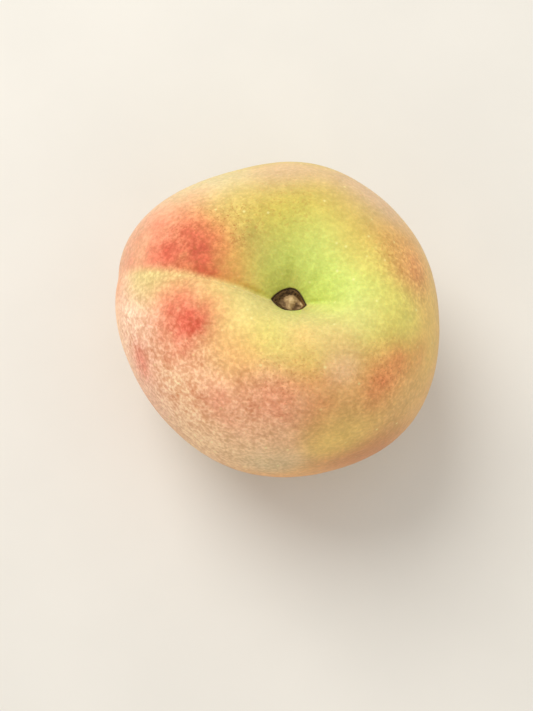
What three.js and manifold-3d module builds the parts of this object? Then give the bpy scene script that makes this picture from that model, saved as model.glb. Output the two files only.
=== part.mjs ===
// A ripe peach, standing on its blossom end with the stalk cavity upwards, and the woody
// stalk scar that is left in the bottom of that cavity.
//
// Frame: millimetres, +Z up. The origin is on the surface that the fruit rests on, under the
// middle of the fruit. The suture, the crease that every peach has, leaves the cavity towards -X
// and runs down that side. A fainter crease leaves the cavity towards +X.
//
// The skin is one closed surface. It starts as a lopsided round body, fuller than an ellipsoid.
// The cavity, its creases and its soft folds are then drops in height, taken from the body's top.
import * as THREE from "three";
import { mergeVertices } from "three/addons/utils/BufferGeometryUtils.js";
import Module from "manifold-3d";

// Driving dimensions of the round body. Its crown is higher than the finished fruit, which
// loses the crown to the cavity.
const WIDTH = 73; // along X
const DEPTH = 71.5; // along Y
const ABOVE = 36; // widest section up to the crown
const BELOW = 30.5; // widest section down to the round bottom
const RESTING_DEPTH = 0.6; // what the flat resting spot takes off the round bottom
const SHOULDER_POWER = 2.18; // 2 gives an ellipse, and more gives fuller shoulders
const BASE_POWER = 2.12;
const LEAN = new THREE.Vector2(3.6, -2.3); // from the middle of the fruit to the stalk
const LEAN_POWER = 5; // the higher, the less the shoulders lean with the stalk

// Waves in the outline of the widest section: how many, their share of the radius, and where one peaks
const OUTLINE_WAVES = [
  { count: 2, share: 0.03, peak: 145 },
  { count: 3, share: 0.019, peak: 51 },
  { count: 4, share: 0.015, peak: 65 },
  { count: 5, share: 0.006, peak: 21 },
  { count: 6, share: 0.006, peak: 24 },
];

// The stalk cavity is a funnel with a gentle wall towards +Y and a steep one towards -Y.
const CAVITY_DEPTH = 15.5;
const CAVITY_REACH = 8.6;
const CAVITY_POWER = 1.12;
const CAVITY_LOPSIDED = 0.42; // share of the reach that the gentle wall gains and the steep one loses

// Creases that leave the cavity: direction, depth, how far they run, and how wide each bank is.
// The left bank is on the left of someone who walks away from the stalk.
const CREASES = [
  { direction: 170, depth: 4, run: 20, leftBank: 1.6, rightBank: 5.5 },
  { direction: -3, depth: 1.3, run: 10, leftBank: 3, rightBank: 2.2 },
  { direction: 93, depth: 0.7, run: 8, leftBank: 1.6, rightBank: 1.3 },
];
const CREASE_START = 3.5; // a crease is at full depth this far from the stalk
const CREASE_SOFTNESS = 0.12; // how round the bottom of a crease is at the stalk
const CREASE_SOFTENING = 0.0016; // and what it gains with the square of the distance
const BANK_WIDENING = 0.12;

// The suture on the side of the fruit, below the shoulder
const SUTURE = { direction: 170, depth: 0.45, width: 5 };

// Soft folds in the cavity's wall: how many, their depth, where one is deepest, and how far out
const FOLDS = [
  { count: 3, depth: 0.5, deepest: 128, out: 14 },
  { count: 5, depth: 0.22, deepest: 118, out: 10 },
  { count: 11, depth: 0.08, deepest: 80, out: 6 },
];

// The stalk scar, a low dome that fills the bottom of the cavity
const SCAR_RADIUS = 5;
const SCAR_RIM = 13.4; // how far its rim lies below the body's crown
const SCAR_DOME = 0.8;
const SCAR_THICKNESS = 3.2;
const SCAR_GAP = 0.34; // between the scar and the skin

// The mesh
const STEPS_ROUND = 76;
const RINGS = 54;
const RING_CROWDING = 1.5; // above 1, the rings stand closer together near the stalk
const STEP_CROWDING = 0.42; // the share by which the steps close up at the suture

const HALF_TURN = Math.PI;
const QUARTER_TURN = Math.PI / 2;
const radians = THREE.MathUtils.degToRad;
const smooth = THREE.MathUtils.smoothstep;
const bell = (x) => Math.exp(-x * x);
const sum = (list, each) => list.reduce((total, item) => total + each(item), 0);

// The outline of the widest section, as a share of its mean radius.
function outline(azimuth) {
  return 1 + sum(OUTLINE_WAVES, (w) => w.share * Math.cos(w.count * (azimuth - radians(w.peak))));
}

function cavityDrop(out, azimuth) {
  const reach = CAVITY_REACH * (1 + CAVITY_LOPSIDED * Math.sin(azimuth));
  return CAVITY_DEPTH * Math.exp(-Math.pow(out / reach, CAVITY_POWER));
}

// A valley with a sharp bottom, which softens, widens and fades as it runs outwards.
function creaseDrop(crease, out, azimuth) {
  const turn = azimuth - radians(crease.direction);
  const along = out * Math.cos(turn);
  const across = out * Math.sin(turn);
  if (along <= 0) return 0;
  const bank = (across > 0 ? crease.leftBank : crease.rightBank) + BANK_WIDENING * along;
  const soft = CREASE_SOFTNESS + CREASE_SOFTENING * along * along;
  const sideways = Math.hypot(across, soft) - soft;
  const fade = smooth(along, 0, CREASE_START) * bell(along / crease.run);
  return crease.depth * fade * Math.exp(-sideways / bank);
}

function foldDrop(fold, out, azimuth) {
  const ring = bell((out - fold.out) / (0.55 * fold.out));
  return fold.depth * ring * Math.cos(fold.count * (azimuth - radians(fold.deepest)));
}

// How far the suture draws the side of the fruit inwards.
function sutureDepth(tilt, out, azimuth) {
  const turn = azimuth - radians(SUTURE.direction);
  const across = out * Math.sin(turn);
  if (Math.cos(turn) <= 0) return 0;
  const fade = smooth(tilt, 0.4, 1) * (1 - smooth(tilt, 2.5, 3));
  return SUTURE.depth * fade * bell(across / SUTURE.width);
}

// The skin at a tilt from the stalk, which is 0, down to the resting spot, which is half a turn.
function skinPoint(tilt, azimuth) {
  const upper = tilt < QUARTER_TURN;
  const bend = 2 / (upper ? SHOULDER_POWER : BASE_POWER);
  const out = (WIDTH / 2) * outline(azimuth) * Math.pow(Math.sin(tilt), bend);
  const rise = Math.pow(Math.abs(Math.cos(tilt)), bend);
  const drop =
    cavityDrop(out, azimuth) +
    sum(CREASES, (crease) => creaseDrop(crease, out, azimuth)) +
    sum(FOLDS, (fold) => foldDrop(fold, out, azimuth));
  const reached = out - sutureDepth(tilt, out, azimuth);
  const lean = upper ? Math.pow(rise, LEAN_POWER) : 0;
  return new THREE.Vector3(
    reached * Math.cos(azimuth) + LEAN.x * lean,
    reached * Math.sin(azimuth) * (DEPTH / WIDTH) + LEAN.y * lean,
    upper ? ABOVE * rise - drop * smooth(rise, 0, 0.6) : Math.max(-BELOW * rise, RESTING_DEPTH - BELOW),
  );
}

// The steps round the fruit, closer together at the suture.
function stepAzimuth(step) {
  const even = (2 * Math.PI * step) / STEPS_ROUND;
  return even - STEP_CROWDING * Math.sin(even - radians(SUTURE.direction));
}

// A closed surface of rings between a pole at the stalk and a pole at the resting spot.
function skinGeometry() {
  const points = [skinPoint(0, 0)];
  for (let ring = 1; ring < RINGS; ring++) {
    const tilt = HALF_TURN * Math.pow(ring / RINGS, RING_CROWDING);
    for (let step = 0; step < STEPS_ROUND; step++) points.push(skinPoint(tilt, stepAzimuth(step)));
  }
  const last = points.push(skinPoint(HALF_TURN, 0)) - 1;
  const at = (ring, step) => 1 + (ring - 1) * STEPS_ROUND + (step % STEPS_ROUND);
  const faces = [];
  for (let step = 0; step < STEPS_ROUND; step++) {
    faces.push(0, at(1, step), at(1, step + 1));
    for (let ring = 1; ring < RINGS - 1; ring++) {
      faces.push(at(ring, step), at(ring + 1, step), at(ring + 1, step + 1));
      faces.push(at(ring, step), at(ring + 1, step + 1), at(ring, step + 1));
    }
    faces.push(last, at(RINGS - 1, step + 1), at(RINGS - 1, step));
  }
  const geometry = new THREE.BufferGeometry().setFromPoints(points);
  geometry.setIndex(faces);
  return geometry;
}

const wasm = await Module();
wasm.setup();

function solidOf(geometry) {
  const bare = geometry.clone();
  for (const name of ["normal", "uv"]) bare.deleteAttribute(name);
  const merged = mergeVertices(bare, 1e-4);
  return new wasm.Manifold(
    new wasm.Mesh({
      numProp: 3,
      vertProperties: merged.attributes.position.array,
      triVerts: new Uint32Array(merged.index.array),
    }),
  );
}

function geometryOf(solid) {
  const { vertProperties, triVerts } = solid.getMesh();
  return new THREE.BufferGeometry()
    .setAttribute("position", new THREE.BufferAttribute(vertProperties, 3))
    .setIndex(new THREE.BufferAttribute(triVerts, 1));
}

// The scar is a domed disc. The skin, moved a gap's width in each direction, cuts it to the
// cavity's shape, so that it stands clear of the wall all round.
function scarGeometry(skin) {
  const rim = ABOVE - SCAR_RIM;
  const profile = [new THREE.Vector2(0, rim - SCAR_THICKNESS), new THREE.Vector2(SCAR_RADIUS, rim - SCAR_THICKNESS)];
  for (let i = 0; i <= 8; i++) {
    const share = i / 8;
    profile.push(new THREE.Vector2(SCAR_RADIUS * (1 - share), rim + SCAR_DOME * (1 - (1 - share) ** 2)));
  }
  const disc = new THREE.LatheGeometry(profile, 40).rotateX(QUARTER_TURN).translate(LEAN.x, LEAN.y, 0);
  const shifts = [[0, 0, 1]];
  for (let side = 0; side < 8; side++) {
    shifts.push([Math.cos((side * Math.PI) / 4), Math.sin((side * Math.PI) / 4), 0]);
  }
  const wall = solidOf(skin);
  const cut = shifts.reduce(
    (left, shift) => left.subtract(wall.translate(shift.map((s) => s * SCAR_GAP))),
    solidOf(disc),
  );
  return geometryOf(cut.decompose().sort((a, b) => b.volume() - a.volume())[0]);
}

function named(name, geometry, look) {
  const mesh = new THREE.Mesh(geometry, new THREE.MeshStandardMaterial({ metalness: 0, ...look }));
  mesh.name = name;
  return mesh;
}

const skin = skinGeometry();
const fruit = named("fruit", skin, { color: 0xe2b878, roughness: 0.75 });
const scar = named("stalk_scar", scarGeometry(skin), { color: 0x5a4530, roughness: 0.9 });

// The group's origin goes to the middle of the resting surface.
const peach = new THREE.Group();
peach.add(fruit, scar);
skin.computeBoundingBox();
const middle = skin.boundingBox.getCenter(new THREE.Vector3());
peach.position.set(-middle.x, -middle.y, -skin.boundingBox.min.z);

export default peach;
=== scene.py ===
"""A ripe peach on a pale table, seen from above, for Blender 4.5.

The CAD model is the frame, and nothing here moves or resizes it. Two pieces stand for its two nodes:

- peach_skin is a fine grid of rings that is cast onto the CAD fruit and then sculpted: the crease,
  the torn edge of the eye that the stalk left, the pleats round it and the low relief of the skin.
- woody_eye is the dry wood at the bottom of that eye.

Lengths are in millimetres in the row frame, with +Z up and +X to the camera's right, and each mesh
is written in metres. The table, the lights and the camera are placed in metres. North means +Y, and
west means -X.
"""

import math

import bpy
import numpy as np
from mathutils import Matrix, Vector, noise
from mathutils.bvhtree import BVHTree


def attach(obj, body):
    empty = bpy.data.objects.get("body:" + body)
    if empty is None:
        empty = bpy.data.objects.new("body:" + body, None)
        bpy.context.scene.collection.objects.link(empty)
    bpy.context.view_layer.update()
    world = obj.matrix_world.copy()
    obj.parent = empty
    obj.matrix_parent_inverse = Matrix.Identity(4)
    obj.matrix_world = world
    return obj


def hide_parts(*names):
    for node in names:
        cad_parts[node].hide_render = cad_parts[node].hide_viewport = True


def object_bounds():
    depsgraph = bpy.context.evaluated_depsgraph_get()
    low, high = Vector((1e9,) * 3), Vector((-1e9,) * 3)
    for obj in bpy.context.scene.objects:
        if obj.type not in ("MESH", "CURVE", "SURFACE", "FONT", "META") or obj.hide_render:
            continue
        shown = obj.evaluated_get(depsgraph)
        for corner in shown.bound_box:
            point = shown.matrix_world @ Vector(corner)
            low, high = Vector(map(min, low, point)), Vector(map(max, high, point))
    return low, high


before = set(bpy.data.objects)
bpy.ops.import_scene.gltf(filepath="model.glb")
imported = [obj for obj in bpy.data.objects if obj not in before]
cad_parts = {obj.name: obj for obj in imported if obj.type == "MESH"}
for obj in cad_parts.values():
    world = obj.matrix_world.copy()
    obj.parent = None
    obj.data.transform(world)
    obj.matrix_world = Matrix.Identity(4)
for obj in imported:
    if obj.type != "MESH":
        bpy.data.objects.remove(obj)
cad_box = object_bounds()

MM = 0.001

# The grid of the skin: rings from the eye, at the top, to the bottom, with steps round each ring
STEPS = 384
RINGS = 232
EYE_RING = 22  # this ring runs along the edge of the eye
RING_CROWDING = 1.35  # above 1, the rings stand closer together near the eye
FIRST_TILT = 0.12  # a first guess at the angle from the grid's pole to the edge of the eye
TILT_ROUNDS = 5
SOFTENING_ROUNDS = 6
TARGET_SUBDIVISIONS = 2
WELD_DISTANCE = 0.02

# The eye is an almond between two arcs, with its corners west and east of its centre
EYE_CENTRE = np.array([2.45, -1.35])
EYE_AXIS = math.radians(-6.5)
EYE_HALF_LENGTH = 3.8
EYE_NORTH_ARC = 3.0  # how far each arc reaches from the line between the corners
EYE_SOUTH_ARC = 2.2
EYE_DEPTH = 1.5
EYE_LIP = 0.5  # how wide the skin's rounded edge is
EYE_LIP_DROP = 0.16
EYE_LIP_RINGS = 13  # beyond these rings the lip has faded out
EYE_FLOOR_SHARE = 0.45  # of the rings inside the eye, how many lie on its floor
EYE_NARROWING = 0.13  # the share by which the floor is narrower than the edge
EYE_WALL_CURVE = 1.4
# The dark edge round the eye is dry tissue and painted shade in the gap beside the wood
DRY_AND_SHADED_WIDTH = 0.16  # how far the dry edge reaches out from the eye
DRY_AND_SHADED_RINGS = 16  # and beyond these the dry edge has

# Each crease lies in one upright plane. "Along" counts away from the eye, and "across" is positive on
# the right of someone who walks that way: north of the main crease, and south of the east one.
CREASE_POINT = np.array([0.0, -1.5])
CREASE_DIRECTION = math.radians(167.6)
CREASE_START = (1.0, 4.0)  # where it fades in
CREASE_END = 40  # no crease widens beyond this
GROOVE_WIDTH = 0.4
GROOVE_WIDENING = 0.045
GROOVE_DEPTH = 0.2
GROOVE_EXTRA_DEPTH = 0.42  # at the eye
GROOVE_FADING = 20  # how far the extra depth reaches
LIP_HEIGHT = 0.3
LIP_ACROSS = 2.6  # how far to the south the lip is highest
LIP_WIDTH = 2.0
LIP_ALONG = 11
LIP_LENGTH = 11
ABOVE_THE_BASE = (0.5, 6.0)  # the heights between which the crease fades in, from below

EAST_CREASE_POINT = np.array([5.5, -1.2])
EAST_CREASE_DIRECTION = math.radians(-11)
EAST_CREASE_START = (0.5, 2.0)
EAST_CREASE_LENGTH = 9
EAST_CREASE_DEPTH = 0.45
EAST_CREASE_WIDTH = 0.4
EAST_CREASE_WIDENING = 0.05
EAST_CREASE_HEIGHTS = (40, 48)

# Fine furrows in the cavity's wall, all round the eye. Their coordinates change faster round the eye
# than away from it.
FURROW_DEPTH = 0.05
FURROW_SIZE = 0.65
FURROW_DISTANCE = 6.0
FURROW_SPREAD = 4.6
FURROW_PACE_ROUND = 4
FURROW_PACE_OUT = 0.12
PLEAT_HEIGHTS = (40, 46)

# Folds that run up the cavity's wall from the eye: direction, depth, and how far out each is deepest
FOLDS = [
    (89, 0.5, 5.5),
    (62, 0.1, 7.5),
    (118, 0.12, 7.0),
    (35, 0.08, 8.0),
]
FOLD_LENGTH = 0.5  # as a share of how far out the fold is deepest
FOLD_WIDTH = 0.35
FOLD_WIDENING = 0.07

# The low unevenness of the whole skin: height, size and seed of its lumps, dents and grain
UNEVENNESS = [
    (0.14, 15.0, 1.7),
    (0.035, 4.2, 5.3),
    (0.012, 1.6, 9.9),
]

# The blossom end, underneath: a dimple with a point in it, each with its height and reach
DIMPLE = (-0.75, 2.6)
POINT = (0.5, 0.45)

HEIGHT = (cad_box[1][2] - cad_box[0][2]) / MM
HEART = np.array([0.0, 0.0, HEIGHT / 2])


def bell(x):
    return np.exp(-np.square(x))


def smooth(x, low, high):
    """0 below low, 1 above high, and a smooth step between them."""
    t = np.clip((x - low) / (high - low), 0.0, 1.0)
    return t * t * (3 - 2 * t)


def linear(red, green, blue):
    """A colour on screen, from 0 to 255, as the linear colour that shaders use."""
    shares = (red / 255, green / 255, blue / 255)
    return tuple(s / 12.92 if s <= 0.04045 else ((s + 0.055) / 1.055) ** 2.4 for s in shares)


def field(points, size, seed=0.0, octaves=1):
    """Smooth noise between about -1 and 1 at each point, with features of that size."""
    flat = points.reshape(-1, 3) / size + seed
    if octaves == 1:
        values = [noise.noise(p) for p in flat]
    else:
        values = [noise.fractal(p, 1.0, 2.0, octaves) for p in flat]
    return np.array(values).reshape(points.shape[:-1])


def new_object(name, vertices, faces):
    """A smooth-shaded mesh from vertices in millimetres."""
    mesh = bpy.data.meshes.new(name)
    mesh.from_pydata([tuple(v) for v in vertices * MM], [], faces)
    mesh.polygons.foreach_set("use_smooth", [True] * len(mesh.polygons))
    mesh.update()
    obj = bpy.data.objects.new(name, mesh)
    bpy.context.scene.collection.objects.link(obj)
    return obj


def closed_rings(grid):
    """Vertices and faces of a closed surface from a grid of rings, whose first and last are points."""
    rings, steps = grid.shape[:2]
    vertices = np.concatenate([grid[0, :1], grid[1:-1].reshape(-1, 3), grid[-1, :1]])
    last = len(vertices) - 1
    faces = []
    for step in range(steps):
        after = (step + 1) % steps
        faces.append((0, 1 + step, 1 + after))
        for ring in range(rings - 3):
            here, below = 1 + ring * steps, 1 + (ring + 1) * steps
            faces.append((here + step, below + step, below + after, here + after))
        here = 1 + (rings - 3) * steps
        faces.append((here + step, last, here + after))
    return vertices, faces


def per_vertex(values):
    """The values of a grid of rings in the order of closed_rings' vertices."""
    inner = values[1:-1].reshape((-1,) + values.shape[2:])
    return np.concatenate([values[0, :1], inner, values[-1, :1]])


def store(obj, name, values):
    """Keeps a number or a colour for each vertex, which the material reads by name."""
    if values.ndim == 1:
        layer = obj.data.attributes.new(name, "FLOAT", "POINT")
        layer.data.foreach_set("value", values.astype(np.float32))
        return
    rgba = np.concatenate([values, np.ones((len(values), 1))], axis=1)
    layer = obj.data.attributes.new(name, "FLOAT_COLOR", "POINT")
    layer.data.foreach_set("color", rgba.astype(np.float32).ravel())


# ---------------------------------------------------------------- the skin's shape


def smooth_target(node):
    """A search tree over a rounded copy of a CAD node, which stays as it is."""
    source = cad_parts[node]
    copy = bpy.data.objects.new("target", source.data.copy())
    bpy.context.scene.collection.objects.link(copy)
    weld = copy.modifiers.new("weld", "WELD")
    weld.merge_threshold = WELD_DISTANCE * MM
    rounding = copy.modifiers.new("rounding", "SUBSURF")
    rounding.levels = TARGET_SUBDIVISIONS
    bpy.context.view_layer.update()
    tree = BVHTree.FromObject(copy, bpy.context.evaluated_depsgraph_get())
    bpy.data.objects.remove(copy)
    return tree


def almond(azimuth):
    """The distance from the eye's centre to its edge in each direction."""
    turn = azimuth - EYE_AXIS
    arc = np.where(np.sin(turn) > 0, EYE_NORTH_ARC, EYE_SOUTH_ARC)
    sine = np.abs(np.sin(turn))
    slope = 2 * arc * np.cos(turn) / EYE_HALF_LENGTH
    return 2 * arc / (sine + np.hypot(sine, slope))


class Caster:
    """Casts rays from the fruit's heart. Tilt 0 is towards the eye, and azimuth 0 is east."""

    def __init__(self, tree):
        self.tree = tree
        top, *_ = tree.ray_cast(Vector((*EYE_CENTRE, HEIGHT * 2)) * MM, Vector((0, 0, -1)))
        self.up = np.array(top) / MM - HEART
        self.up /= np.linalg.norm(self.up)
        self.north = np.cross(self.up, (1.0, 0.0, 0.0))
        self.north /= np.linalg.norm(self.north)
        self.east = np.cross(self.north, self.up)

    def cast(self, tilt, azimuth):
        sideways = math.cos(azimuth) * self.east + math.sin(azimuth) * self.north
        direction = math.sin(tilt) * sideways + math.cos(tilt) * self.up
        place, *_ = self.tree.ray_cast(Vector(HEART * MM), Vector(direction))
        return np.array(place) / MM


def edge_tilts(caster, azimuths):
    """The tilt at which each direction reaches the edge of the eye."""
    tilts = np.full(len(azimuths), FIRST_TILT)
    for _ in range(TILT_ROUNDS):
        hits = np.array([caster.cast(t, a) for t, a in zip(tilts, azimuths)])
        reached = np.linalg.norm(hits[:, :2] - EYE_CENTRE, axis=1)
        tilts *= almond(azimuths) / reached
    return tilts


def skin_grid():
    """The CAD fruit's surface as a grid of rings."""
    caster = Caster(smooth_target("fruit"))
    azimuths = np.arange(STEPS) * 2 * math.pi / STEPS
    edge = edge_tilts(caster, azimuths)
    grid = np.zeros((RINGS + 1, STEPS, 3))
    for ring in range(RINGS + 1):
        if ring <= EYE_RING:
            tilts = edge * ring / EYE_RING
        else:
            share = ((ring - EYE_RING) / (RINGS - EYE_RING)) ** RING_CROWDING
            tilts = edge + (math.pi - edge) * share
        for step in range(STEPS):
            grid[ring, step] = caster.cast(tilts[step], azimuths[step])
    return grid


def soften(grid, rounds):
    """Evens out what the target's facets leave, by drawing each point to its four neighbours."""
    for _ in range(rounds):
        around = np.roll(grid, 1, axis=1) + np.roll(grid, -1, axis=1)
        along = grid[:-2] + grid[2:]
        grid[1:-1] = 0.5 * grid[1:-1] + 0.125 * (around[1:-1] + along)
    return grid


def outward(grid):
    """The unit normal at each point of a grid of rings."""
    down = np.zeros_like(grid)
    down[1:-1] = grid[2:] - grid[:-2]
    sideways = np.roll(grid, -1, axis=1) - np.roll(grid, 1, axis=1)
    normal = np.cross(down, sideways)
    normal[0] = (0, 0, 1)
    normal[-1] = (0, 0, -1)
    return normal / np.linalg.norm(normal, axis=2, keepdims=True)


def along_across(points, start, direction):
    """How far along an upright plane each point lies, and how far to its right-hand side."""
    away = points[..., :2] - start
    heading = np.array([math.cos(direction), math.sin(direction)])
    return away @ heading, away @ np.array([heading[1], -heading[0]])


def crease_relief(grid):
    """A sharp groove with a plump lip on its south side, which softens into the suture of the side."""
    along, across = along_across(grid, CREASE_POINT, CREASE_DIRECTION)
    width = GROOVE_WIDTH + GROOVE_WIDENING * np.clip(along, 0, CREASE_END)
    depth = GROOVE_EXTRA_DEPTH * bell(along / GROOVE_FADING) + GROOVE_DEPTH
    groove = depth * bell(across / width)
    lip = LIP_HEIGHT * bell((across + LIP_ACROSS) / LIP_WIDTH) * bell((along - LIP_ALONG) / LIP_LENGTH)
    return smooth(along, *CREASE_START) * (lip - groove) * smooth(grid[..., 2], *ABOVE_THE_BASE)


def east_crease_relief(grid):
    """A faint groove that runs from the eye to the east."""
    along, across = along_across(grid, EAST_CREASE_POINT, EAST_CREASE_DIRECTION)
    on_top = smooth(grid[..., 2], *EAST_CREASE_HEIGHTS)
    ahead = smooth(along, *EAST_CREASE_START) * bell(along / EAST_CREASE_LENGTH) * on_top
    width = EAST_CREASE_WIDTH + EAST_CREASE_WIDENING * np.abs(along)
    return -EAST_CREASE_DEPTH * ahead * bell(across / width)


def around_the_eye(grid):
    """Each point's distance from the eye, seen from above, and the direction that it lies in."""
    away = grid[..., :2] - EYE_CENTRE
    return np.linalg.norm(away, axis=-1), np.arctan2(away[..., 1], away[..., 0])


def furrows(grid):
    """Coordinates that change fast round the eye and slowly away from it, for streaks in the fuzz."""
    reach, azimuth = around_the_eye(grid)
    east = FURROW_PACE_ROUND * np.cos(azimuth)
    north = FURROW_PACE_ROUND * np.sin(azimuth)
    return np.stack([east, north, FURROW_PACE_OUT * reach], axis=-1)


def pleats(grid):
    """Folds and fine furrows that run into the eye, down the wall of the cavity."""
    reach, azimuth = around_the_eye(grid)
    on_top = smooth(grid[..., 2], *PLEAT_HEIGHTS)
    fading = bell((reach - FURROW_DISTANCE) / FURROW_SPREAD)
    relief = FURROW_DEPTH * field(furrows(grid), FURROW_SIZE, seed=3.1) * fading
    for direction, depth, deepest in FOLDS:
        turn = azimuth - math.radians(direction)
        across = reach * np.sin(turn)
        ahead = np.where(np.cos(turn) > 0, bell((reach - deepest) / (FOLD_LENGTH * deepest)), 0.0)
        relief -= depth * ahead * bell(across / (FOLD_WIDTH + FOLD_WIDENING * reach))
    return relief * on_top


def skin_relief(grid):
    """The low unevenness of the skin, which stops short of the surface that the fruit rests on."""
    relief = sum(height * field(grid, size, seed=seed) for height, size, seed in UNEVENNESS)
    return relief * smooth(grid[..., 2], 0.2, 4.0)


def blossom_end(grid):
    """A small dimple with a point in it, where the flower was."""
    away = np.linalg.norm(grid[..., :2], axis=2)
    underneath = 1 - smooth(grid[..., 2], 1.0, 3.0)
    return underneath * sum(height * bell(away / reach) for height, reach in (POINT, DIMPLE))


def open_eye(grid):
    """Turns the skin's edge down into the eye, and closes it below the wood."""
    edge = grid[EYE_RING].copy()
    for ring in range(EYE_RING + 1, EYE_RING + 1 + EYE_LIP_RINGS):
        away = np.linalg.norm(grid[ring] - edge, axis=1)
        grid[ring, :, 2] -= EYE_LIP_DROP * bell(away / EYE_LIP)
    edge[:, 2] -= EYE_LIP_DROP
    middle = edge[:, 2].mean()
    for ring in range(EYE_RING + 1):
        share = ring / EYE_RING
        spread = min(1.0, share / EYE_FLOOR_SHARE)
        wall = smooth(share, EYE_FLOOR_SHARE, 1.0)
        inward = 1 - EYE_NARROWING * (1 - wall) - (1 - EYE_NARROWING) * (1 - spread)
        grid[ring, :, :2] = EYE_CENTRE + (edge[:, :2] - EYE_CENTRE) * inward
        bottom = middle - EYE_DEPTH + (edge[:, 2] - middle) * spread
        grid[ring, :, 2] = bottom + (edge[:, 2] - bottom) * wall**EYE_WALL_CURVE
    return grid


def sculpted_skin():
    grid = soften(skin_grid(), SOFTENING_ROUNDS)
    relief = crease_relief(grid) + east_crease_relief(grid) + pleats(grid)
    relief += skin_relief(grid) + blossom_end(grid)
    grid += outward(grid) * relief[..., None]
    grid[..., 2] = np.maximum(grid[..., 2], 0.0)
    return open_eye(grid)


# ---------------------------------------------------------------- the skin's colours

# Lime with painted light, for the cavity's wall north-east of the eye
LIT_LIME = (216, 230, 122)
LIME = (202, 217, 111)
# The skin's green, darkened with painted shade for the east crease
SHADED_GREEN = (190, 206, 90)
LEAF = (194, 196, 96)
OLIVE = (186, 170, 88)
GOLD = (196, 176, 68)
HONEY = (210, 184, 92)
MOSS = (206, 198, 102)
YELLOW = (222, 210, 108)
BUTTER = (212, 200, 126)
WHEAT = (216, 195, 126)
STRAW = (234, 216, 130)
IVORY = (220, 204, 156)
APRICOT = (232, 179, 108)
PEACH = (246, 203, 155)
PINK_IVORY = (246, 200, 168)
ROSE_TAN = (216, 180, 144)
TAN = (223, 179, 112)
AMBER = (232, 196, 108)
OCHRE = (212, 166, 90)
# Painted reflected light: a greyish cast for the low south edge
REFLECTED_GREY_LIGHT = (212, 186, 140)
# A tan darkened with painted shade, for the lower south-east side
SHADED_BROWN = (202, 140, 88)

# Patches of ground colour: a point on the skin, how far it reaches, its colour, and the side of the
# creases that it keeps to (1 is north, -1 is south, and 0 is both)
GROUND = [
    ((3, 6, 56), 6, LIME, 1),
    ((10, 1, 57), 6, LIME, 1),
    ((13, -2.5, 59), 3, LIME, 0),
    # Painted light: these two paler lime patches lighten the cavity's steep wall north-east of the eye
    ((9, 8, 58), 5, LIT_LIME, 0),
    ((6.5, 3.5, 55.5), 2.5, LIT_LIME, 1),
    # Partly the skin's own green and partly painted shade, darker beside the east crease
    ((9, -1, 56.5), 4, SHADED_GREEN, 1),
    ((15, -3, 60), 6, LIME, 0),
    ((5, 12, 59), 6, LEAF, 0),
    ((-1, 2, 54), 3, LEAF, 1),
    ((2.5, 3, 55), 2.5, OLIVE, 1),
    ((-5, 9, 58), 5, OLIVE, 0),
    ((-4, 1.5, 56), 4, MOSS, 1),
    ((-9, 5, 59), 4, HONEY, 1),
    ((-13, 10, 59), 3, OCHRE, 1),
    ((24, -6, 59), 7, YELLOW, 0),
    ((24, -7, 59), 5, YELLOW, 0),
    ((17, -6, 60), 4, BUTTER, 0),
    ((14, 10, 59), 4, HONEY, 0),
    ((18, 6, 60), 4, YELLOW, 0),
    ((13, 18, 58), 7, HONEY, 0),
    ((1, 18, 58), 7, GOLD, 0),
    ((-10, 19, 57), 6, HONEY, 0),
    ((-14, 24, 52), 7, IVORY, 0),
    ((0, 27, 53), 7, ROSE_TAN, 0),
    ((18, 24, 51), 8, ROSE_TAN, 0),
    ((24, 10, 57), 6, OCHRE, 0),
    ((29, 7, 53), 6, APRICOT, 0),
    ((33, 0, 48), 7, AMBER, 0),
    ((33, -9, 45), 6, AMBER, 0),
    ((-17, 8, 59), 6, APRICOT, 1),
    ((-26, 10, 54), 6, PEACH, 1),
    ((-31, 15, 45), 8, ROSE_TAN, 1),
    ((-27, 2, 54), 5, WHEAT, -1),
    ((-18, 0, 59), 4, WHEAT, -1),
    ((-6, -3, 59), 5, BUTTER, -1),
    ((-12, -3, 60.5), 2.5, BUTTER, -1),
    ((-9, -8, 61), 6, STRAW, -1),
    ((-13, -4, 61), 3, STRAW, -1),
    ((-30, -8, 48), 8, PINK_IVORY, -1),
    ((-18, -8, 59), 5, PEACH, -1),
    ((3, -8, 61), 6, BUTTER, 0),
    ((10, -9, 62), 6, BUTTER, 0),
    ((-1, -11, 62), 4, YELLOW, 0),
    ((-7, -14, 61), 5, APRICOT, 0),
    ((5, -11, 62.5), 3, APRICOT, 0),
    ((5, -16, 63), 5, HONEY, 0),
    ((12, -12, 62), 4, TAN, 0),
    ((13, -17, 62), 3, PEACH, 0),
    ((-19, -19, 53), 10, PEACH, 0),
    ((-29, -17, 42), 9, PINK_IVORY, 0),
    ((1, -23, 59), 6, PEACH, 0),
    ((15, -24, 55), 7, TAN, 0),
    ((14, -28, 50), 6, AMBER, 0),
    ((-5, -30, 50), 8, PEACH, 0),
    # Painted reflected light: a greyer, cooler patch low on the south side
    ((-1, -34, 41), 5, REFLECTED_GREY_LIGHT, 0),
    ((-14, -33, 38), 8, PEACH, 0),
    ((22, -16, 57), 6, APRICOT, 0),
    ((31, -19, 43), 8, TAN, 0),
    # Partly the skin's own tan and partly painted shade, where the lower south-east side turns from the
    # light
    ((21, -30, 35), 9, SHADED_BROWN, 0),
    ((8, -33, 26), 9, APRICOT, 0),
    ((0, 34, 30), 18, HONEY, 0),
    ((30, 18, 28), 16, TAN, 0),
    ((34, -8, 26), 16, TAN, 0),
    ((-30, 18, 22), 16, PEACH, 0),
    ((-34, -8, 24), 14, PEACH, 0),
    ((-8, -32, 20), 14, TAN, 0),
    ((0, 0, 0), 20, HONEY, 0),
]

RED = (190, 80, 52)
ROSE = (222, 106, 80)
CORAL = (222, 124, 96)
RUST = (232, 134, 84)
ROSY_BROWN = (190, 112, 70)

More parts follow.
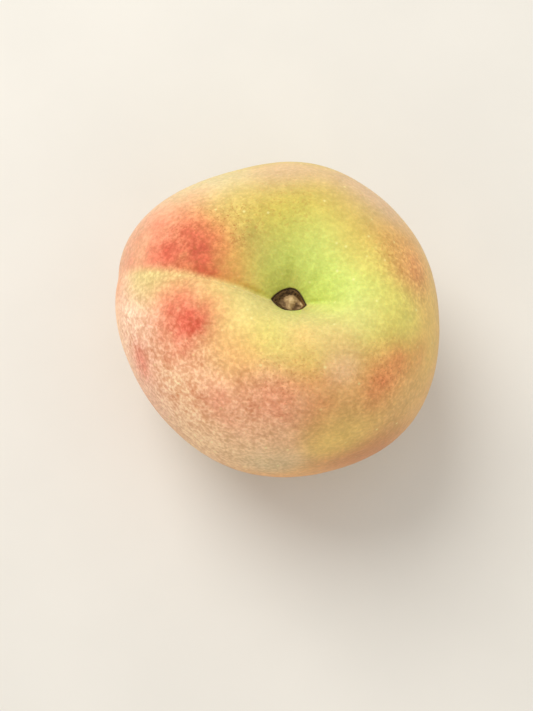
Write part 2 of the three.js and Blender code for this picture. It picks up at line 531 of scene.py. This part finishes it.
# Patches of blush: a point on the skin, how far it reaches, how strong it is, its colour and its side
BLUSH = [
    ((-17, 6, 59), 6, 0.92, RED, 1),
    ((-20, 8, 58), 4, 0.5, RED, 1),
    ((-25, 6, 55.5), 6, 0.65, ROSE, 1),
    ((-19.5, 10.5, 57), 6, 0.85, ROSE, 1),
    ((-18, 20, 53), 5, 0.3, ROSE, 1),
    ((-14, 1.5, 58.5), 3, 0.5, RED, 1),
    ((-12, 8, 59), 5, 0.2, RUST, 1),
    ((-10, 3, 58), 4, 0.3, RUST, 1),
    ((-6, 0, 57), 3, 0.25, RUST, 1),
    ((-30, 12, 47), 7, 0.3, CORAL, 1),
    ((-31, 5, 49), 5, 0.4, ROSE, 1),
    ((-35, 4, 41), 6, 0.4, CORAL, 0),
    ((-26, 14, 52), 6, 0.5, ROSE, 1),
    ((-17.5, -6.5, 59.3), 6.5, 0.88, ROSE, -1),
    ((-15.5, -8, 60), 4, 0.5, RED, -1),
    ((-21.5, -6.5, 57), 5.5, 0.65, ROSE, -1),
    ((-19, -13, 57), 5, 0.5, ROSE, -1),
    ((-11.5, -23, 55), 5, 0.4, CORAL, 0),
    ((-11, -13, 61), 4, 0.2, CORAL, -1),
    ((-20, -22, 50), 9, 0.25, CORAL, 0),
    ((-28.5, -13.5, 48), 4, 0.3, ROSE, -1),
    ((-28.5, -14.5, 45.5), 4.5, 0.6, ROSE, -1),
    ((0, -23, 59), 6, 0.45, ROSE, 0),
    ((8, -22, 59), 6, 0.4, RUST, 0),
    ((5, -29, 53), 5, 0.4, ROSY_BROWN, 0),
    ((-7, -26, 55), 8, 0.35, CORAL, 0),
    ((25, -13.5, 56.5), 4, 0.5, RUST, 0),
    ((22, -18, 57), 5, 0.5, RUST, 0),
    ((29, -11, 52), 4, 0.3, RUST, 0),
    ((20, -21, 55), 4, 0.25, RUST, 0),
    ((29, 7, 53), 5, 0.4, RUST, 0),
    ((22, -30, 32), 10, 0.35, ROSY_BROWN, 0),
    ((8, -33, 20), 12, 0.5, RUST, 0),
    ((-28, -16, 24), 13, 0.6, ROSE, 0),
    ((-10, -32, 22), 12, 0.4, CORAL, 0),
    ((-30, 18, 24), 13, 0.4, ROSE, 0),
    ((32, -12, 24), 13, 0.4, RUST, 0),
    ((20, 28, 24), 12, 0.2, RUST, 0),
]

# Patches where the fuzz is patchy enough to show as pale flecks: a point, its reach and its strength
SPECKLE = [
    ((-19, -20, 51), 12, 0.9),
    ((-30, -9, 46), 9, 0.85),
    ((-18, -9, 58), 6, 0.9),
    ((-2, -26, 57), 9, 0.6),
    ((-20, 8, 58), 8, 0.7),
    ((-10, 14, 58), 6, 0.25),
    ((27, 6, 54), 7, 0.55),
    ((21, -19, 55), 9, 0.3),
    ((-14, -28, 28), 18, 0.7),
    ((-30, 10, 25), 16, 0.6),
]

# Patches where the skin has small dark flecks, in the same form
FLECKED = [
    ((-10, 13, 58), 6, 0.9),
    ((-16, 5, 59), 5, 0.7),
    ((-19, 14, 56), 6, 0.6),
    ((2, 18, 57), 7, 0.5),
    ((-17, -10, 58), 5, 0.5),
    ((2, -19, 61), 9, 0.6),
    ((22, -16, 57), 7, 0.6),
    ((24, 9, 57), 6, 0.6),
]

BLUSH_PATCHINESS = 0.3
BLUSH_PATCH_SIZE = 5.0

# How wide the change of colour across each crease is at the eye, and what it gains along the crease
CREASE_BLUR = 0.25
CREASE_BLURRING = 0.05
EAST_CREASE_BLUR = 0.3
EAST_CREASE_BLURRING = 0.2

NOTHING = 1e-6  # keeps an average's total weight above zero


def nearness(grid, place, reach):
    """1 at a place, which falls off as a bell with that reach."""
    return bell(np.linalg.norm(grid - np.array(place, float), axis=-1) / reach)


def side_of_crease(grid, side):
    """1 on that side of the two creases and 0 on the other, with a sharp change near the eye."""
    if side == 0:
        return np.ones(grid.shape[:-1])
    along, across = along_across(grid, CREASE_POINT, CREASE_DIRECTION)
    width = CREASE_BLUR + CREASE_BLURRING * np.clip(along, 0, CREASE_END)
    west = smooth(side * across, -width, width)
    along_east, across_east = along_across(grid, EAST_CREASE_POINT, EAST_CREASE_DIRECTION)
    width = EAST_CREASE_BLUR + EAST_CREASE_BLURRING * np.clip(along_east, 0, CREASE_END)
    east = smooth(-side * across_east, -width, width)
    return np.where(along > 0, west, np.where(along_east > 0, east, 1.0))


def ground_colour(grid):
    """The average of the ground patches' colours, weighted by how near each one is."""
    total = np.full(grid.shape[:-1], NOTHING)
    colour = np.zeros(grid.shape)
    for place, reach, shade, side in GROUND:
        weight = nearness(grid, place, reach) * side_of_crease(grid, side)
        total += weight
        colour += weight[..., None] * np.array(linear(*shade))
    return colour / total[..., None]


def blush(grid):
    """How much of the ground colour the blush covers, and the blush's own colour."""
    clear = np.ones(grid.shape[:-1])
    total = np.full(grid.shape[:-1], NOTHING)
    colour = np.zeros(grid.shape)
    for place, reach, strength, shade, side in BLUSH:
        weight = strength * nearness(grid, place, reach) * side_of_crease(grid, side)
        clear *= 1 - weight
        total += weight
        colour += weight[..., None] * np.array(linear(*shade))
    patchy = 1 + BLUSH_PATCHINESS * field(grid, BLUSH_PATCH_SIZE, seed=4.4, octaves=3)
    return np.clip((1 - clear) * patchy, 0, 1), colour / total[..., None]


def coverage(grid, patches):
    """How much a list of patches covers, where each has a place, a reach and a strength."""
    clear = np.ones(grid.shape[:-1])
    for place, reach, strength in patches:
        clear *= 1 - strength * nearness(grid, place, reach)
    return 1 - clear


def dryness_and_shade(grid):
    """1 inside the eye and on its torn edge, and 0 on the living skin: dry tissue with painted shade."""
    dry = np.zeros(grid.shape[:2])
    dry[:EYE_RING] = 1
    edge = grid[EYE_RING]
    for ring in range(EYE_RING, EYE_RING + DRY_AND_SHADED_RINGS):
        away = np.linalg.norm(grid[ring] - edge, axis=1)
        dry[ring] = bell(away / DRY_AND_SHADED_WIDTH)
    return dry


# ---------------------------------------------------------------- materials


class Shader:
    """One node material. Each method adds a node and gives the socket that comes out of it."""

    def __init__(self, name):
        self.material = bpy.data.materials.new(name)
        self.material.use_nodes = True
        self.nodes = self.material.node_tree.nodes
        self.links = self.material.node_tree.links
        self.surface = self.nodes["Principled BSDF"]

    def put(self, node, **sockets):
        """Links or sets a node's inputs, named with _ for each space."""
        for name, value in sockets.items():
            socket = node.inputs[name.replace("_", " ")]
            if isinstance(value, bpy.types.NodeSocket):
                self.links.new(value, socket)
            else:
                socket.default_value = value

    def place(self):
        """The point's place on the object, in metres."""
        return self.nodes.new("ShaderNodeTexCoord").outputs["Object"]

    def attribute(self, name, output):
        node = self.nodes.new("ShaderNodeAttribute")
        node.attribute_name = name
        return node.outputs[output]

    def noise(self, size, detail=2.0, roughness=0.5, distortion=0.0):
        """Noise from 0 to 1 with features of about that size in millimetres."""
        node = self.nodes.new("ShaderNodeTexNoise")
        self.put(node, Vector=self.place(), Scale=1 / (size * MM), Detail=detail)
        self.put(node, Roughness=roughness, Distortion=distortion)
        return node.outputs["Fac"]

    def noise_along(self, name, size):
        """Noise from 0 to 1 in the coordinates that each vertex keeps under that name."""
        node = self.nodes.new("ShaderNodeTexNoise")
        self.put(node, Vector=self.attribute(name, "Vector"), Scale=1 / size, Detail=2.0)
        return node.outputs["Fac"]

    def cells(self, size):
        """The distance to the nearest of a scatter of points, and a random colour for each."""
        node = self.nodes.new("ShaderNodeTexVoronoi")
        self.put(node, Vector=self.place(), Scale=1 / (size * MM))
        return node.outputs["Distance"], node.outputs["Color"]

    def maths(self, operation, first, second=0.0, third=0.0, clamp=False):
        node = self.nodes.new("ShaderNodeMath")
        node.operation = operation
        node.use_clamp = clamp
        for socket, value in zip(node.inputs, (first, second, third)):
            if isinstance(value, bpy.types.NodeSocket):
                self.links.new(value, socket)
            else:
                socket.default_value = value
        return node.outputs[0]

    def remap(self, value, low, high):
        """A smooth step from 0 at low to 1 at high. Low may be the larger number."""
        node = self.nodes.new("ShaderNodeMapRange")
        node.interpolation_type = "SMOOTHSTEP"
        self.put(node, Value=value, From_Min=low, From_Max=high)
        return node.outputs["Result"]

    def combine(self, red, green, blue):
        node = self.nodes.new("ShaderNodeCombineColor")
        self.put(node, Red=red, Green=green, Blue=blue)
        return node.outputs["Color"]

    def mix(self, share, first, second, blend="MIX"):
        """Blends two colours, each a socket or three numbers, by the second one's share."""
        node = self.nodes.new("ShaderNodeMix")
        node.data_type = "RGBA"
        node.blend_type = blend
        for index, value in ((0, share), (6, first), (7, second)):
            if isinstance(value, bpy.types.NodeSocket):
                self.links.new(value, node.inputs[index])
            else:
                node.inputs[index].default_value = value if index == 0 else (*value, 1)
        return node.outputs[2]

    def bump(self, height, distance, strength, below=None):
        """Relief from a height of 0 to 1, which stands for that distance in millimetres."""
        node = self.nodes.new("ShaderNodeBump")
        self.put(node, Height=height, Distance=distance * MM, Strength=strength)
        if below is not None:
            self.put(node, Normal=below)
        return node.outputs["Normal"]


PALE_POINT = (246, 240, 168)
DARK_FLECK = (172, 96, 46)
# The dark brown of the eye's edge and inside: dry tissue, with painted shade in the gap and recess
DRY_EDGE_AND_SHADE = (80, 54, 26)

# Sizes of the skin's markings, in millimetres
CLOUD_SIZE = 2.6
TUFT_SIZE = 0.85
SPECK_SIZE = 1.1
MOTTLE_SIZE = 5.5
FLECK_SIZE = 0.62
POINT_SPACING = 2.4
STREAK_SIZE = 0.5  # in the coordinates of furrows()

# The part of each noise over which its marking goes from none to full
TUFT_RANGE = (0.3, 0.84)
FLECK_RANGE = (0.54, 0.68)
POINT_CHOICE = (0.6, 0.68)
POINT_RADIUS = (0.18, 0.05)

# How strongly the markings show
SPECK_MEAN = 0.46  # the mean of each noise is taken off, so that it lightens as much as it darkens
GRAIN_MEAN = 0.77
STREAK_MEAN = 0.5
MOTTLE_SWING = 0.8
STREAK_SWING = 0.22
PLAIN_CONTRAST = 0.19
SPECKLED_CONTRAST = 0.8  # what full speckle adds
SPECKLED_RED_LOSS = 0.65  # full speckle swings less in red than in green
BLUE_SWING = 1.25
FLECK_STRENGTH = 0.6
POINT_STRENGTH = 0.55


def blushed(shader):
    """The blush over the ground colour. Where the blush is thin, it breaks up into specks."""
    covered = shader.attribute("blush", "Fac")
    thin = shader.maths("MULTIPLY", covered, shader.maths("SUBTRACT", 1.0, covered))
    specks = shader.noise(SPECK_SIZE, detail=1.5, distortion=1.2)
    swing = shader.maths("MULTIPLY", shader.maths("SUBTRACT", specks, SPECK_MEAN), thin)
    cover = shader.maths("ADD", swing, covered, clamp=True)
    ground = shader.attribute("ground", "Color")
    return shader.mix(cover, ground, shader.attribute("blush_colour", "Color"))


def fuzzed(shader, colour, grain):
    """Lightens and darkens a colour with the grain, the mottles and the streaks of the fuzz."""
    speckle = shader.attribute("speckle", "Fac")
    contrast = shader.maths("MULTIPLY_ADD", speckle, SPECKLED_CONTRAST, PLAIN_CONTRAST)
    mottle = shader.noise(MOTTLE_SIZE, detail=1.0)
    mottled = shader.maths("MULTIPLY_ADD", mottle, MOTTLE_SWING, -MOTTLE_SWING / 2)
    texture = shader.maths("MULTIPLY", shader.maths("ADD", grain, mottled), contrast)
    streaks = shader.maths("SUBTRACT", shader.noise_along("furrow", STREAK_SIZE), STREAK_MEAN)
    light = shader.maths("MULTIPLY_ADD", streaks, STREAK_SWING, texture)
    red_swing = shader.maths("MULTIPLY_ADD", speckle, -SPECKLED_RED_LOSS, 1.0)
    red = shader.maths("MULTIPLY_ADD", light, red_swing, 1.0)
    green = shader.maths("ADD", light, 1.0)
    blue = shader.maths("MULTIPLY_ADD", light, BLUE_SWING, 1.0)
    return shader.mix(1.0, colour, shader.combine(red, green, blue), "MULTIPLY")


def flecked(shader, colour):
    """Adds the small dark flecks."""
    fine = shader.noise(FLECK_SIZE, detail=1.0, distortion=0.8)
    fleck = shader.remap(fine, *FLECK_RANGE)
    shown = shader.maths("MULTIPLY", fleck, shader.attribute("flecked", "Fac"))
    return shader.mix(shader.maths("MULTIPLY", shown, FLECK_STRENGTH), colour, linear(*DARK_FLECK))


def dotted(shader, colour):
    """Adds the pale points, which keep to the skin that has no blush."""
    distance, random = shader.cells(POINT_SPACING)
    clear = shader.maths("SUBTRACT", 1.0, shader.attribute("blush", "Fac"))
    chosen = shader.maths("MULTIPLY", shader.remap(random, *POINT_CHOICE), clear)
    dot = shader.maths("MULTIPLY", shader.remap(distance, *POINT_RADIUS), chosen)
    return shader.mix(shader.maths("MULTIPLY", dot, POINT_STRENGTH), colour, linear(*PALE_POINT))


def skin_material():
    shader = Shader("peach_skin")
    cloudy = shader.noise(CLOUD_SIZE, detail=2.0, roughness=0.7)
    fine = shader.noise(TUFT_SIZE, detail=1.5, roughness=0.6, distortion=0.2)
    tufts = shader.remap(fine, *TUFT_RANGE)
    grain = shader.maths("SUBTRACT", shader.maths("ADD", tufts, cloudy), GRAIN_MEAN)
    living = dotted(shader, flecked(shader, fuzzed(shader, blushed(shader), grain)))
    clouds = shader.bump(cloudy, distance=0.25, strength=0.4)
    shader.put(
        shader.surface,
        # The eye's edge and inside take a dark colour that is dry tissue and painted shade
        Base_Color=shader.mix(shader.attribute("dry", "Fac"), living, linear(*DRY_EDGE_AND_SHADE)),
        Normal=shader.bump(tufts, distance=0.12, strength=0.5, below=clouds),
        Roughness=0.62,
        Specular_IOR_Level=0.22,
        Sheen_Weight=0.18,
        Sheen_Roughness=0.45,
        Sheen_Tint=(1.0, 0.88, 0.74, 1.0),
        Subsurface_Weight=0.12,
        Subsurface_Radius=(1.0, 0.45, 0.2),
        Subsurface_Scale=1.6 * MM,
    )
    return shader.material


# Dark wall: dry wood with painted shade. Gold in the east: the wood's colour and painted light.
WALL_DARK = (52, 34, 18)
WALL_BROWN = (104, 78, 48)
WALL_GOLD_AND_LIGHT = (140, 96, 44)
# The face's browns. Painted light picks the tan on raised lumps and towards the east
WOOD_DARK = (112, 86, 58)
WOOD_BROWN = (162, 132, 92)
WOOD_TAN = (214, 184, 136)

FIBRE_SIZE = 0.5
FIBRE_MEAN = 0.5
FIBRE_SWING = 0.5

# The tones between which the wood goes from dark to brown and from brown to tan, as its fibres and its
# painted light change
DARK_TO_BROWN = (0.1, 0.5)
BROWN_TO_TAN = (0.5, 1.0)
WALL_FIBRES = (0.35, 0.65)


def wood_material():
    """A lumpy face with painted light, paler where it stands higher and towards the east, inside a wall
    of dark dry wood with painted shade, golden in the east from the wood's colour and painted light.
    """
    shader = Shader("dry_stalk_wood")
    fibre = shader.noise(FIBRE_SIZE, detail=3.0, roughness=0.55, distortion=0.5)
    swing = shader.maths("SUBTRACT", fibre, FIBRE_MEAN)
    # The "height" attribute brings painted light: paler on raised lumps and towards the east
    fibre_and_light = shader.maths("MULTIPLY_ADD", swing, FIBRE_SWING, shader.attribute("height", "Fac"))
    brown = shader.mix(shader.remap(fibre_and_light, *DARK_TO_BROWN), linear(*WOOD_DARK), linear(*WOOD_BROWN))
    face = shader.mix(shader.remap(fibre_and_light, *BROWN_TO_TAN), brown, linear(*WOOD_TAN))
    side = shader.mix(shader.remap(fibre, *WALL_FIBRES), linear(*WALL_DARK), linear(*WALL_BROWN))
    # Partly the wood's colour and partly painted light: the wall's east side turns gold
    gold_and_lit_side = shader.mix(shader.attribute("golden", "Fac"), side, linear(*WALL_GOLD_AND_LIGHT))
    shader.put(
        shader.surface,
        Base_Color=shader.mix(shader.attribute("wall", "Fac"), face, gold_and_lit_side),
        Normal=shader.bump(fibre, distance=0.08, strength=0.5),
        Roughness=0.8,
        Specular_IOR_Level=0.25,
    )
    return shader.material


# ---------------------------------------------------------------- pieces


def make_skin(grid):
    vertices, faces = closed_rings(grid)
    skin = new_object("peach_skin", vertices, faces)
    cover, colour = blush(grid)
    store(skin, "ground", per_vertex(ground_colour(grid)))
    store(skin, "blush", per_vertex(cover))
    store(skin, "blush_colour", per_vertex(colour))
    store(skin, "speckle", per_vertex(coverage(grid, SPECKLE)))
    store(skin, "flecked", per_vertex(coverage(grid, FLECKED)))
    store(skin, "furrow", per_vertex(furrows(grid)))
    # The "dry" attribute marks the eye's dark edge: dry tissue and painted shade
    store(skin, "dry", per_vertex(dryness_and_shade(grid)))
    skin.data.materials.append(skin_material())
    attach(skin, "root")
    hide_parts("fruit")


WOOD_RINGS = 40
WOOD_STEPS = 128
WOOD_REACH = 0.94  # how much of the eye's outline the wood fills
WOOD_THICKNESS = 0.5
WALL_TOP = 0.3  # the wall starts this far below the edge of the skin
WALL_DROP = 0.85  # and the wood's face lies this far below the wall's top
WALL_FOOT = 0.05  # the share by which the wall's slope starts inside the face
FACE_SHARE = 0.72  # how much of the wood is its face, on average
# The shift also widens the dark wall, with its painted shade, towards the north-west
FACE_SHIFT = 0.17  # the share by which the face lies closer to one side
FACE_SIDE = math.radians(-45)
FACE_BLEND = 0.07
FOLLOWING = 1.5  # the power by which the wood follows the rise and fall of the eye's edge
LUMP_SIZE = 1.25
SMALL_LUMP_SIZE = 0.5
SMALL_LUMPS = 0.4  # how high the small lumps are beside the others
LUMPS_ON_WALL = 0.05  # how high the lumps stand
LUMPS_ON_FACE = 0.25

# The wood's tone, from 0 for dark to 1 for pale, is a mean with what its lumps and its east side add:
# painted light, paler on raised lumps and towards the east, and darker towards the west
SHADE_MEAN = 0.46
LUMP_HIGHLIGHT = 0.7
EAST_LIGHT = 0.2
# How much the wall's east side turns gold, partly the wood's own colour and partly painted light
GOLD_AND_LIGHT_STRENGTH = 0.6
GOLD_AND_LIGHT_RANGE = (0.45, 0.85)


def wood_grid(edge):
    """A sloping wall below the eye's edge, and a lumpy face of wood that lies towards its south-east."""
    steps = np.linspace(0, STEPS, WOOD_STEPS, endpoint=False).astype(int)
    outline = edge[steps]
    middle = outline[:, 2].mean()
    azimuth = steps * 2 * math.pi / STEPS
    face_share = FACE_SHARE + FACE_SHIFT * np.cos(azimuth - FACE_SIDE)
    grid = np.zeros((2 * WOOD_RINGS + 1, WOOD_STEPS, 3))
    wall = np.zeros(grid.shape[:2])
    for ring in range(2 * WOOD_RINGS + 1):
        upper = ring <= WOOD_RINGS
        share = ring / WOOD_RINGS if upper else 2 - ring / WOOD_RINGS
        grid[ring, :, :2] = EYE_CENTRE + (outline[:, :2] - EYE_CENTRE) * WOOD_REACH * share
        follow = middle + (outline[:, 2] - middle) * share**FOLLOWING
        wall[ring] = smooth(share, face_share - FACE_BLEND, face_share + FACE_BLEND)
        sunk = WALL_TOP + WALL_DROP * (1 - smooth(share, face_share - WALL_FOOT, 1.0))
        thick = 0 if upper else WOOD_THICKNESS * math.sqrt(1 - share**2)
        grid[ring, :, 2] = follow - sunk - thick
    lumps = field(grid, LUMP_SIZE, seed=2.2) + SMALL_LUMPS * field(grid, SMALL_LUMP_SIZE, seed=6.1)
    rough = (LUMPS_ON_WALL + (LUMPS_ON_FACE - LUMPS_ON_WALL) * (1 - wall)) * lumps
    grid[: WOOD_RINGS + 1, :, 2] += rough[: WOOD_RINGS + 1]
    return grid, wall, lumps


def make_wood(edge):
    grid, wall, lumps = wood_grid(edge)
    eastward = (grid[..., 0] - EYE_CENTRE[0]) / EYE_HALF_LENGTH
    # The "height" attribute is painted light: paler on raised lumps and towards the east, darker to the
    # west
    height = SHADE_MEAN + LUMP_HIGHLIGHT * lumps + EAST_LIGHT * eastward
    vertices, faces = closed_rings(grid)
    wood = new_object("woody_eye", vertices, faces)
    store(wood, "wall", per_vertex(wall))
    store(wood, "height", per_vertex(height))
    # The "golden" attribute is partly the wood's colour and partly painted light on the wall's east side
    store(wood, "golden", per_vertex(GOLD_AND_LIGHT_STRENGTH * smooth(eastward, *GOLD_AND_LIGHT_RANGE)))
    wood.data.materials.append(wood_material())
    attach(wood, "root")
    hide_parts("stalk_scar")


# ---------------------------------------------------------------- table, light and camera

TABLE_SIZE = 6.0
TABLE_COLOUR = (226, 222, 214)
TABLE_CLOUDS = 40.0  # in millimetres
TABLE_CLOUD_SHADE = 0.97

# Name, place, size and power of each round lamp
LIGHTS = [
    ("window", (-0.42, 0.5, 0.85), 0.7, 7.2),
    ("fill", (0.7, -0.5, 0.8), 0.8, 0.85),
]
LIGHT_COLOUR = (1.0, 0.99, 0.97)
WORLD_COLOUR = (1.0, 0.985, 0.95, 1.0)
WORLD_STRENGTH = 0.68

ELEVATION = math.radians(76)
CAMERA_DISTANCE = 0.242
LENS = 54  # in millimetres, like the sensor's width
SENSOR = 36
FRAMING_RIGHT = 1.96 * MM  # how far the fruit stands to the right of the middle of the frame
FRAMING_UP = 8.38 * MM  # and how far above it


def make_table():
    half = TABLE_SIZE / 2 / MM
    square = np.array([(-half, -half, 0), (half, -half, 0), (half, half, 0), (-half, half, 0)])
    table = new_object("table", square, [(0, 1, 2, 3)])
    shader = Shader("pale_table")
    clouds = shader.remap(shader.noise(TABLE_CLOUDS, detail=4.0), 0.3, 0.7)
    pale = linear(*TABLE_COLOUR)
    colour = shader.mix(clouds, [c * TABLE_CLOUD_SHADE for c in pale], pale)
    shader.put(shader.surface, Base_Color=colour, Roughness=0.7)
    table.data.materials.append(shader.material)


def aim(obj, target):
    """Turns a lamp or a camera to face a point."""
    obj.rotation_mode = "QUATERNION"
    obj.rotation_quaternion = (target - obj.location).to_track_quat("-Z", "Y")


def make_light(name, place, size, power, target):
    data = bpy.data.lights.new(name, "AREA")
    data.shape = "DISK"
    data.size = size
    data.energy = power
    data.color = LIGHT_COLOUR
    lamp = bpy.data.objects.new(name, data)
    lamp.location = place
    bpy.context.scene.collection.objects.link(lamp)
    aim(lamp, target)


def make_world():
    world = bpy.data.worlds.new("studio")
    world.use_nodes = True
    background = world.node_tree.nodes["Background"]
    background.inputs["Color"].default_value = WORLD_COLOUR
    background.inputs["Strength"].default_value = WORLD_STRENGTH
    bpy.context.scene.world = world


def make_camera(centre):
    data = bpy.data.cameras.new("camera")
    data.lens = LENS
    data.sensor_width = SENSOR
    camera = bpy.data.objects.new("camera", data)
    back = Vector((0, -math.cos(ELEVATION), math.sin(ELEVATION)))
    camera.location = centre + back * CAMERA_DISTANCE
    up = Vector((0, math.sin(ELEVATION), math.cos(ELEVATION)))
    aim(camera, centre - Vector((1, 0, 0)) * FRAMING_RIGHT - up * FRAMING_UP)
    bpy.context.scene.collection.objects.link(camera)
    bpy.context.scene.camera = camera


centre = (Vector(cad_box[0]) + Vector(cad_box[1])) / 2
make_camera(centre)
make_world()
make_table()
for light in LIGHTS:
    make_light(*light, centre)
skin_points = sculpted_skin()
make_skin(skin_points)
make_wood(skin_points[EYE_RING])
bpy.context.scene.view_settings.view_transform = "Standard"
